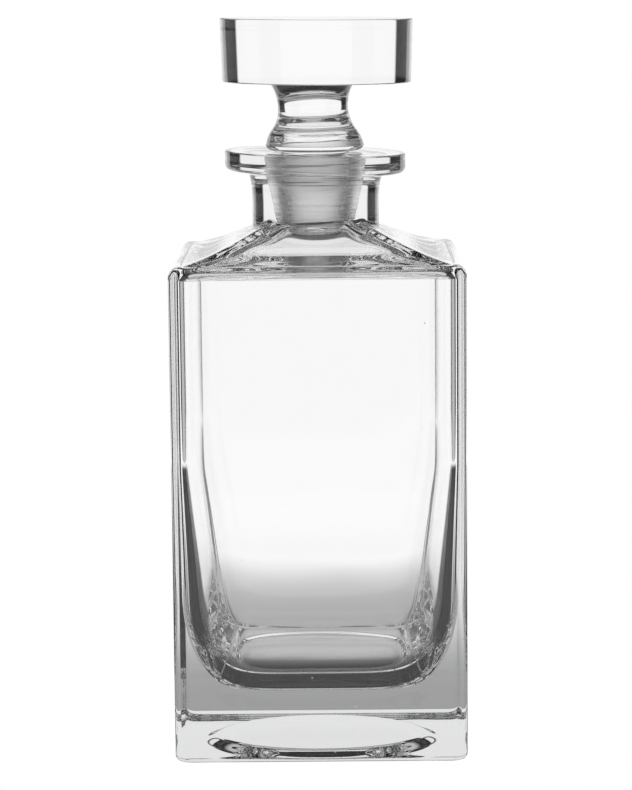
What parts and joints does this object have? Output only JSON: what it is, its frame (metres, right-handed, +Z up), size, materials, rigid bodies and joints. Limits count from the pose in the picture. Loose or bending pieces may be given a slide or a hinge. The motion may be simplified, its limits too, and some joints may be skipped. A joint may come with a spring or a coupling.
{
  "type": "spirit decanter",
  "caption": "Square clear glass spirit decanter with a thick base, a round lip and a solid disc stopper whose ground plug lifts out of the neck.",
  "frame": {"origin": "centre of the base, in the plane of the flat rim that the decanter stands on, on the neck's axis", "axes": "+Z up along the neck's axis, the way the stopper lifts; X and Y square to the body's flat sides"},
  "size_m": [0.09, 0.09, 0.2268],
  "materials": {
    "bottle_glass": "clear moulded and fire-polished glass, ground inside the mouth",
    "stopper_glass": "clear polished glass, ground on the plug"
  },
  "bodies": {
    "bottle": {"decanter_body": "bottle_glass"},
    "stopper": {"stopper": "stopper_glass"}
  },
  "joints": [
    {"name": "stopper_lift", "type": "slide", "parent": "bottle", "child": "stopper", "axis": [0, 0, 1], "range_m": [0, 0.03]}
  ]
}
